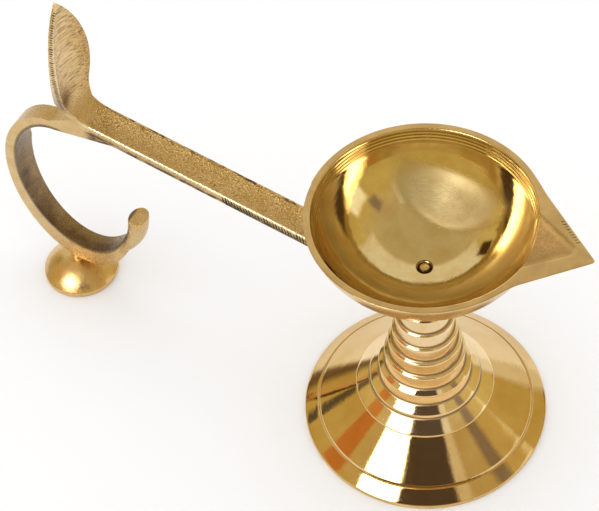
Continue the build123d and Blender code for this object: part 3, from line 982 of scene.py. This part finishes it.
class LAMP_OT_handle(bpy.types.Operator):
    """Cast the handle: arm, thumb leaf and finger hook with an uneven skin"""

    bl_idname = "lamp.make_handle"
    bl_label = "Handle"

    remesh_scale = 0.9
    loop_edge = 1.12
    loop_fade = 0.08
    # Strengths of painted shade on the loop's near side and low on the leaf, and of a faint brown film on the
    # hook.
    loop_near_shade = 0.2
    hook_film = 0.14
    leaf_shade_strength = 0.8
    streak_start = 22 * MM
    arm_wear_highlight_width = 0.5 * MM
    leaf_wear_highlight_width = 0.4 * MM
    leaf_shine = 0.7
    wear_highlight_reach = 1.5
    front_facing = 0.3
    under_start = 3 * MM
    leaf_margin = 5 * MM
    skin = 0.2 * MM

    def round_arm_edge(self, mesh, size):
        """Rounds the arm's near top edge, which hands have rubbed smooth."""
        points = mesh_points(mesh)
        x, y, z = points.T
        arm_top = arm_height(size, x)
        outward = -y - size.arm_width / 2 + size.arm_rounding
        upward = z - arm_top + size.arm_rounding
        reach = np.hypot(outward, upward)
        on_arm = (x > self.leaf_margin - size.leaf_reach) & (z < arm_top + self.skin)
        on_edge = on_arm & (outward > 0) & (upward > 0) & (reach > size.arm_rounding)
        pull = np.where(on_edge, size.arm_rounding / np.maximum(reach, 1e-9) - 1.0, 0.0)
        points[:, 1] -= outward * pull
        points[:, 2] += upward * pull
        mesh.vertices.foreach_set("co", points.ravel())
        mesh.update()

    def masks(self, mesh, size):
        """Masks of the casting's parts, its painted shade and dark streaks, and its edge wear with a painted
        highlight, by name.
        """
        x, y, z = mesh_points(mesh).T
        arm_top = arm_height(size, x)
        leaf_root = arm_height(size, -size.leaf_reach)
        arm = past(x + size.leaf_reach, 2, 4) * (z > arm_top - 2 * size.arm_thickness)
        leaf = past(z - leaf_root, 2, 4)

        # Painted shade inside the loop, stronger on its near side, a faint brown film on the rest of the
        # hook, and painted shade low on the leaf
        loop_x = (x + size.loop_x) / size.loop_half_width
        loop_z = (z - size.loop_z) / size.loop_half_height
        inner = smooth_step((self.loop_edge - loop_x ** 2 - loop_z ** 2) / self.loop_fade)
        inner = inner * (1 - self.loop_near_shade + self.loop_near_shade * past(-y, -2.5, 4))
        inner = np.maximum(inner, self.hook_film) * (1 - arm) * (1 - leaf)
        shade = self.leaf_shade_strength * leaf * past(-y, -1, 5) * past(leaf_root - z, -15, 9)

        # Dark streaks along the arm's far top edge outside the bowl, and painted shade under its near side
        far_edge = past(y, 3.1, 0.5) * past(z - arm_top, -0.9, 0.5) * arm * (x < -self.streak_start)
        under_shade = past(arm_top - z, 1.3, 0.6) * (y < -self.under_start) * arm

        # Bright wear with a painted highlight on the near edges of the arm and of the leaf's front
        arm_gap = np.hypot(y + size.arm_width / 2, z - arm_top) / self.arm_wear_highlight_width
        leaf_gap = np.abs(y - leaf_edge(size, z - handle_top + size.leaf_belly)) / self.leaf_wear_highlight_width
        leaf_gap = leaf_gap + np.where(mesh_normals(mesh)[:, 0] > self.front_facing, 0.0, 1.0)
        arm_wear_highlight = arm * smooth_step(self.wear_highlight_reach - arm_gap)
        leaf_wear_highlight = self.leaf_shine * leaf * smooth_step(self.wear_highlight_reach - leaf_gap)
        return {
            "arm": arm,
            "leaf": leaf,
            "inner": np.maximum(inner, shade),
            "streaked_and_shaded": np.maximum(far_edge, under_shade),
            "under": under_shade,
            "wear_and_highlight": np.maximum(arm_wear_highlight, leaf_wear_highlight),
        }

    def execute(self, context):
        size = context.scene.lamp_handle
        rough = linked("rough_handle", merged_copy("handle", "rough_handle"))
        remesh = rough.modifiers.new("casting", "REMESH")
        remesh.mode = "SHARP"
        remesh.octree_depth = size.detail
        remesh.scale = self.remesh_scale
        mesh = evaluated_mesh(rough, "cast_handle")
        self.round_arm_edge(mesh, size)
        shade_smooth(mesh)
        for name, values in self.masks(mesh, size).items():
            add_mask(mesh, name, values)
        add_piece("cast_handle", mesh, [cast_brass()], "cast_brass", "handle")
        return {"FINISHED"}


class LAMP_OT_file_cuts(bpy.types.Operator):
    """Lay the file cuts on the arm's near side, the leaf's near edge and the spout"""

    bl_idname = "lamp.make_file_cuts"
    bl_label = "File cuts"

    arm_span = (-53.0, -26.0)
    arm_share = 0.55
    leaf_span = (-33.0, -2.0)
    leaf_points = 26
    leaf_front = 0.5 * MM
    leaf_sweep = 8.3
    spout_span = (0.52, 0.78)
    spout_inset = 1.3 * MM

    def arm_line(self, size):
        """Middle of the arm's near side."""
        points = []
        for place in self.arm_span:
            x = place * MM
            z = arm_height(size, x) - self.arm_share * size.arm_thickness
            points.append((x, -size.arm_width / 2, z))
        return points

    def leaf_line(self, size):
        """Middle of the leaf's near edge, heights counted down from the tip."""
        points = []
        for height in np.linspace(*self.leaf_span, self.leaf_points):
            above = height * MM + size.leaf_belly
            x = self.leaf_front - size.leaf_reach - self.leaf_sweep * min(above, 0.0) ** 2
            points.append((x, leaf_edge(size, above), handle_top + height * MM))
        return points

    def spout_line(self, bowl):
        """Part of the spout's far edge, between its root and its tip."""
        outer = bowl.rim_radius + bowl.rim_width
        turn = bowl.spout_turn
        root = Vector((math.cos(turn + bowl.spread_far), math.sin(turn + bowl.spread_far), 0)) * outer
        ahead = Vector((math.cos(turn), math.sin(turn), 0))
        shift = Vector((0, 0, rim_height)) - ahead * self.spout_inset
        return [tuple(root.lerp(ahead * bowl.spout_reach, part) + shift) for part in self.spout_span]

    def execute(self, context):
        size = context.scene.lamp_handle
        cuts = context.scene.lamp_file
        bowl = context.scene.lamp_bowl
        # Dark strokes of painted shade in the file cuts and the spout nicks.
        cut_shade = painted_cut_shade()
        # Lengths in millimetres; widths and pitches as shares of the settings
        for name, line, across, reach, taper, width, pitch, slant, slot in (
            ("arm_cuts", self.arm_line(size), (0, 0, 1), 2.6, 0.0, 1.0, 1.0, cuts.slant, "cast_brass"),
            ("leaf_cuts", self.leaf_line(size), (1, 0, 0), 2.2, 0.65, 0.6, 0.75, 0.0, "cast_brass"),
            ("spout_nicks", self.spout_line(bowl), (1, 1, 0), 1.0, 0.0, 0.4, 1.0, 0.3, "turned_brass"),
        ):
            values = {
                "Pitch": cuts.pitch * pitch, "Length": reach * MM, "Width": cuts.width * width,
                "Height": cuts.height, "Taper": taper, "Slant": slant, "Across": across,
                "Seed": cuts.seed, "Material": cut_shade,
            }
            add_piece(name, file_cuts(name, line, values), [cut_shade], slot)
        return {"FINISHED"}


class LAMP_OT_foot(bpy.types.Operator):
    """Turn the button foot under the hook"""

    bl_idname = "lamp.make_foot"
    bl_label = "Hook foot"

    lip = 1.6 * MM
    neck_radius = 1.9 * MM
    neck_height = 2.6 * MM
    pad_radius = 2.2 * MM
    spigot_radius = 1.4 * MM
    spigot_length = 4.0 * MM
    bulge = 0.8 * MM
    rounding = 0.35 * MM
    crown_steps = 14

    def execute(self, context):
        sole = foot_high.z - self.spigot_length
        neck = sole - self.neck_height
        crown_start = Vector((foot_radius, self.lip))
        crown_end = Vector((self.neck_radius, neck))
        middle = (crown_start + crown_end) / 2 + Vector((self.bulge, 2 * self.bulge))
        corners = [
            (0, 0, 0),
            (foot_radius, 0, self.rounding),
            (foot_radius, self.lip, self.rounding),
        ]
        for step in range(1, self.crown_steps):
            point = curved(crown_start, middle, crown_end, step / self.crown_steps)
            corners.append((point.x, point.y, 0))
        corners += [
            (self.neck_radius, neck, self.rounding),
            (self.pad_radius, sole, 0),
            (self.spigot_radius, sole, 0),
            (self.spigot_radius, foot_high.z, 0),
            (0, foot_high.z, 0),
        ]
        mesh = lathe_mesh("turned_foot", corners, longest=0.6 * MM, segments=128, centre_x=foot_x)
        material = polished_brass("satin foot brass", gloss=(0.22, 0.36), waves=0.06, centre_x=foot_x)
        add_piece("turned_foot", mesh, [material], "polished_brass", "hook_foot")
        return {"FINISHED"}


class LAMP_OT_hardware(bpy.types.Operator):
    """Dress the stud, the washer and the nut"""

    bl_idname = "lamp.make_hardware"
    bl_label = "Stud, washer and nut"

    chamfer = 0.25 * MM
    flat_angle = math.radians(1)
    edge_angle = math.radians(40)

    def execute(self, context):
        for node, piece_name, slot, material in (
            ("tie_stud", "riveted_stud", "stud_brass", stud_brass()),
            ("base_washer", "plain_washer", "hardware_brass", hardware_brass()),
            ("base_nut", "plain_nut", "hardware_brass", bpy.data.materials.get("hardware brass")),
        ):
            mesh = merged_copy(node, piece_name)
            shaped = bmesh.new()
            shaped.from_mesh(mesh)
            bmesh.ops.dissolve_limit(
                shaped, angle_limit=self.flat_angle, verts=shaped.verts, edges=shaped.edges
            )
            sharp = [
                edge for edge in shaped.edges
                if len(edge.link_faces) == 2 and edge.calc_face_angle() > self.edge_angle
            ]
            bmesh.ops.bevel(
                shaped, geom=sharp, offset=self.chamfer, segments=2, profile=0.5, affect="EDGES",
                clamp_overlap=True,
            )
            shaped.to_mesh(mesh)
            shaped.free()
            shade_smooth(mesh)
            add_piece(piece_name, mesh, [material], slot, node)
        return {"FINISHED"}


# Stage
class LAMP_OT_stage(bpy.types.Operator):
    """Lay the pale floor, set the light and aim the camera"""

    bl_idname = "lamp.make_stage"
    bl_label = "Stage"

    floor_half = 4.0
    floor_roughness = 0.9
    floor_shine = 0.1
    card_facing = 0.05
    eye = Vector((0.10981, -0.23317, 0.39716))
    ahead = Vector((-0.32450, 0.52291, -0.78821))
    right = Vector((0.88514, 0.46167, -0.05813))
    up = Vector((-0.33350, 0.71654, 0.61266))
    sensor_width = 36.0
    nearest = 0.01
    softbox_place = Vector((-0.1, 0.1, 1.0))
    softbox_aim = Vector((-0.03, 0, 0.04))
    softbox_size = 0.6
    softbox_power = 0.9

    # The room's colour at the horizon, straight up, and at sines of the rise between them
    room_foot = (0.26, 0.18, 0.1)
    room_top = (0.54, 0.46, 0.28)
    room_between = (
        (0.07, (0.15, 0.1, 0.055)),
        (0.12, (0.58, 0.45, 0.15)),
        (0.5, (0.66, 0.53, 0.22)),
        (0.76, (0.56, 0.47, 0.28)),
    )

    # Azimuth, elevation, half width, half height and softness in degrees, then the colour
    cards = (
        (200, 23, 46, 31, 2, (0.82, 0.77, 0.63)),
        (107, 17, 11, 9, 1.5, (1.15, 1.15, 1.0)),
        (93, 36, 5, 7, 2, (0.3, 0.24, 0.2)),
        (-57, 39, 7, 13, 1, (0.62, 0.26, 0.07)),
        (-98, 28, 6, 5, 1, (0.07, 0.035, 0.012)),
        (-89, 15, 4, 2, 0.7, (0.12, 0.1, 0.08)),
        (25, 47, 21, 8, 1, (0.1, 0.075, 0.06)),
        (59, 42, 4, 12, 1.5, (0.8, 0.74, 0.6)),
        (-16, 47, 12.5, 12, 0.7, (8.5, 8.5, 8.5)),
    )

    def floor(self, studio):
        """Pale floor under the lamp."""
        half = self.floor_half
        mesh = bpy.data.meshes.new("pale_floor")
        corners = [(-half, -half, 0), (half, -half, 0), (half, half, 0), (-half, half, 0)]
        mesh.from_pydata(corners, [], [(0, 1, 2, 3)])
        material = bpy.data.materials.new("pale floor")
        material.use_nodes = True
        shader = material.node_tree.nodes["Principled BSDF"]
        shader.inputs["Base Color"].default_value = (*studio.floor_colour, 1.0)
        shader.inputs["Roughness"].default_value = self.floor_roughness
        shader.inputs["Specular IOR Level"].default_value = self.floor_shine
        mesh.materials.append(material)
        floor = linked("pale_floor", mesh)

    def card(self, tree, direction, room, azimuth, elevation, half_width, half_height, softness, colour):
        """Lays a soft-edged oblong of colour over the room at a direction, sizes in degrees."""
        turn, rise = math.radians(azimuth), math.radians(elevation)
        ahead = (math.sin(turn) * math.cos(rise), -math.cos(turn) * math.cos(rise), math.sin(rise))
        side = (math.cos(turn), math.sin(turn), 0.0)
        top = (-math.sin(turn) * math.sin(rise), math.cos(turn) * math.sin(rise), math.cos(rise))

        def along(axis):
            inputs = {0: direction, 1: axis}
            return add_node(tree, "ShaderNodeVectorMath", inputs, operation="DOT_PRODUCT").outputs["Value"]

        mask = ranged(tree, along(ahead), 0.0, 1.0, 0.0, self.card_facing)
        for axis, half in ((side, half_width), (top, half_height)):
            offset = add_node(tree, "ShaderNodeMath", {0: along(axis)}, operation="ABSOLUTE").outputs[0]
            outer = math.sin(math.radians(half + softness))
            inner = math.sin(math.radians(half - softness))
            mask = joined(tree, "MULTIPLY", mask, ranged(tree, offset, 0.0, 1.0, outer, inner))
        return colour_mix(tree, mask, room, colour)

    def world(self, studio):
        """White to the camera, plain light to the floor, and a softly lit room in the polished brass."""
        world = bpy.data.worlds.new("studio")
        bpy.context.scene.world = world
        world.use_nodes = True
        tree = world.node_tree
        tree.nodes.clear()
        direction = add_node(tree, "ShaderNodeTexCoord").outputs["Generated"]
        parts = add_node(tree, "ShaderNodeSeparateXYZ", {0: direction})
        ramp = add_node(tree, "ShaderNodeValToRGB", {0: parts.outputs[2]})
        stops = ramp.color_ramp.elements
        stops[0].color = (*self.room_foot, 1.0)
        stops[1].color = (*self.room_top, 1.0)
        for position, colour in self.room_between:
            stops.new(position).color = (*colour, 1.0)
        room = ramp.outputs[0]
        for card in self.cards:
            room = self.card(tree, direction, room, *card)
        rays = add_node(tree, "ShaderNodeLightPath")
        mirrored = joined(
            tree, "MAXIMUM", rays.outputs["Is Glossy Ray"], rays.outputs["Is Transmission Ray"]
        )
        seen = colour_mix(tree, mirrored, [studio.room_light] * 3, room)
        final = colour_mix(tree, rays.outputs["Is Camera Ray"], seen, (1.0, 1.0, 1.0))
        background = add_node(tree, "ShaderNodeBackground", {"Color": final, "Strength": 1.0})
        output = tree.nodes.new("ShaderNodeOutputWorld")
        tree.links.new(background.outputs[0], output.inputs["Surface"])

    def softbox(self):
        """Soft square lamp aimed at the bowl."""
        light = bpy.data.lights.new("overhead softbox", "AREA")
        light.size = self.softbox_size
        light.energy = self.softbox_power
        lamp = linked("overhead softbox", light)
        lamp.location = self.softbox_place
        aim = self.softbox_aim - self.softbox_place
        lamp.rotation_euler = aim.to_track_quat("-Z", "Y").to_euler()
        lamp.visible_camera = False
        lamp.visible_glossy = False

    def camera(self, studio):
        """Camera at the photograph's place and angle."""
        lens = bpy.data.cameras.new("camera")
        lens.sensor_fit = "HORIZONTAL"
        lens.sensor_width = self.sensor_width
        lens.lens = studio.focal_length
        lens.clip_start = self.nearest
        camera = linked("camera", lens)
        turn = Matrix((self.right, self.up, -self.ahead)).transposed()
        camera.matrix_world = Matrix.Translation(self.eye) @ turn.to_4x4()
        bpy.context.scene.camera = camera

    def execute(self, context):
        studio = context.scene.lamp_studio
        self.floor(studio)
        self.world(studio)
        self.softbox()
        self.camera(studio)
        context.scene.view_settings.view_transform = "Standard"
        return {"FINISHED"}


class LAMP_PT_panel(bpy.types.Panel):
    """Lists the lamp's pieces and the stage"""

    bl_idname = "LAMP_PT_panel"
    bl_label = "Aarti Lamp"
    bl_space_type = "VIEW_3D"
    bl_region_type = "UI"
    bl_category = "Lamp"

    def draw(self, context):
        for operator in OPERATORS:
            self.layout.operator(operator.bl_idname)


SETTINGS = {
    "lamp_skirt": SkirtSettings,
    "lamp_stem": StemSettings,
    "lamp_bowl": BowlSettings,
    "lamp_handle": HandleSettings,
    "lamp_file": FileSettings,
    "lamp_brass": BrassSettings,
    "lamp_studio": StudioSettings,
}
OPERATORS = (
    LAMP_OT_skirt,
    LAMP_OT_stem,
    LAMP_OT_bowl,
    LAMP_OT_handle,
    LAMP_OT_file_cuts,
    LAMP_OT_foot,
    LAMP_OT_hardware,
    LAMP_OT_stage,
)


def register():
    """Registers the settings, the operators and the panel."""
    for name, group in SETTINGS.items():
        bpy.utils.register_class(group)
        setattr(bpy.types.Scene, name, PointerProperty(type=group))
    for operator in OPERATORS:
        bpy.utils.register_class(operator)
    bpy.utils.register_class(LAMP_PT_panel)


def unregister():
    """Takes them out again."""
    bpy.utils.unregister_class(LAMP_PT_panel)
    for operator in reversed(OPERATORS):
        bpy.utils.unregister_class(operator)
    for name, group in SETTINGS.items():
        delattr(bpy.types.Scene, name)
        bpy.utils.unregister_class(group)


def main():
    """Makes the pieces and the stage."""
    register()
    bpy.ops.lamp.make_skirt()
    bpy.ops.lamp.make_stem()
    bpy.ops.lamp.make_bowl()
    bpy.ops.lamp.make_handle()
    bpy.ops.lamp.make_file_cuts()
    bpy.ops.lamp.make_foot()
    bpy.ops.lamp.make_hardware()
    bpy.ops.lamp.make_stage()


if __name__ == "__main__":
    main()
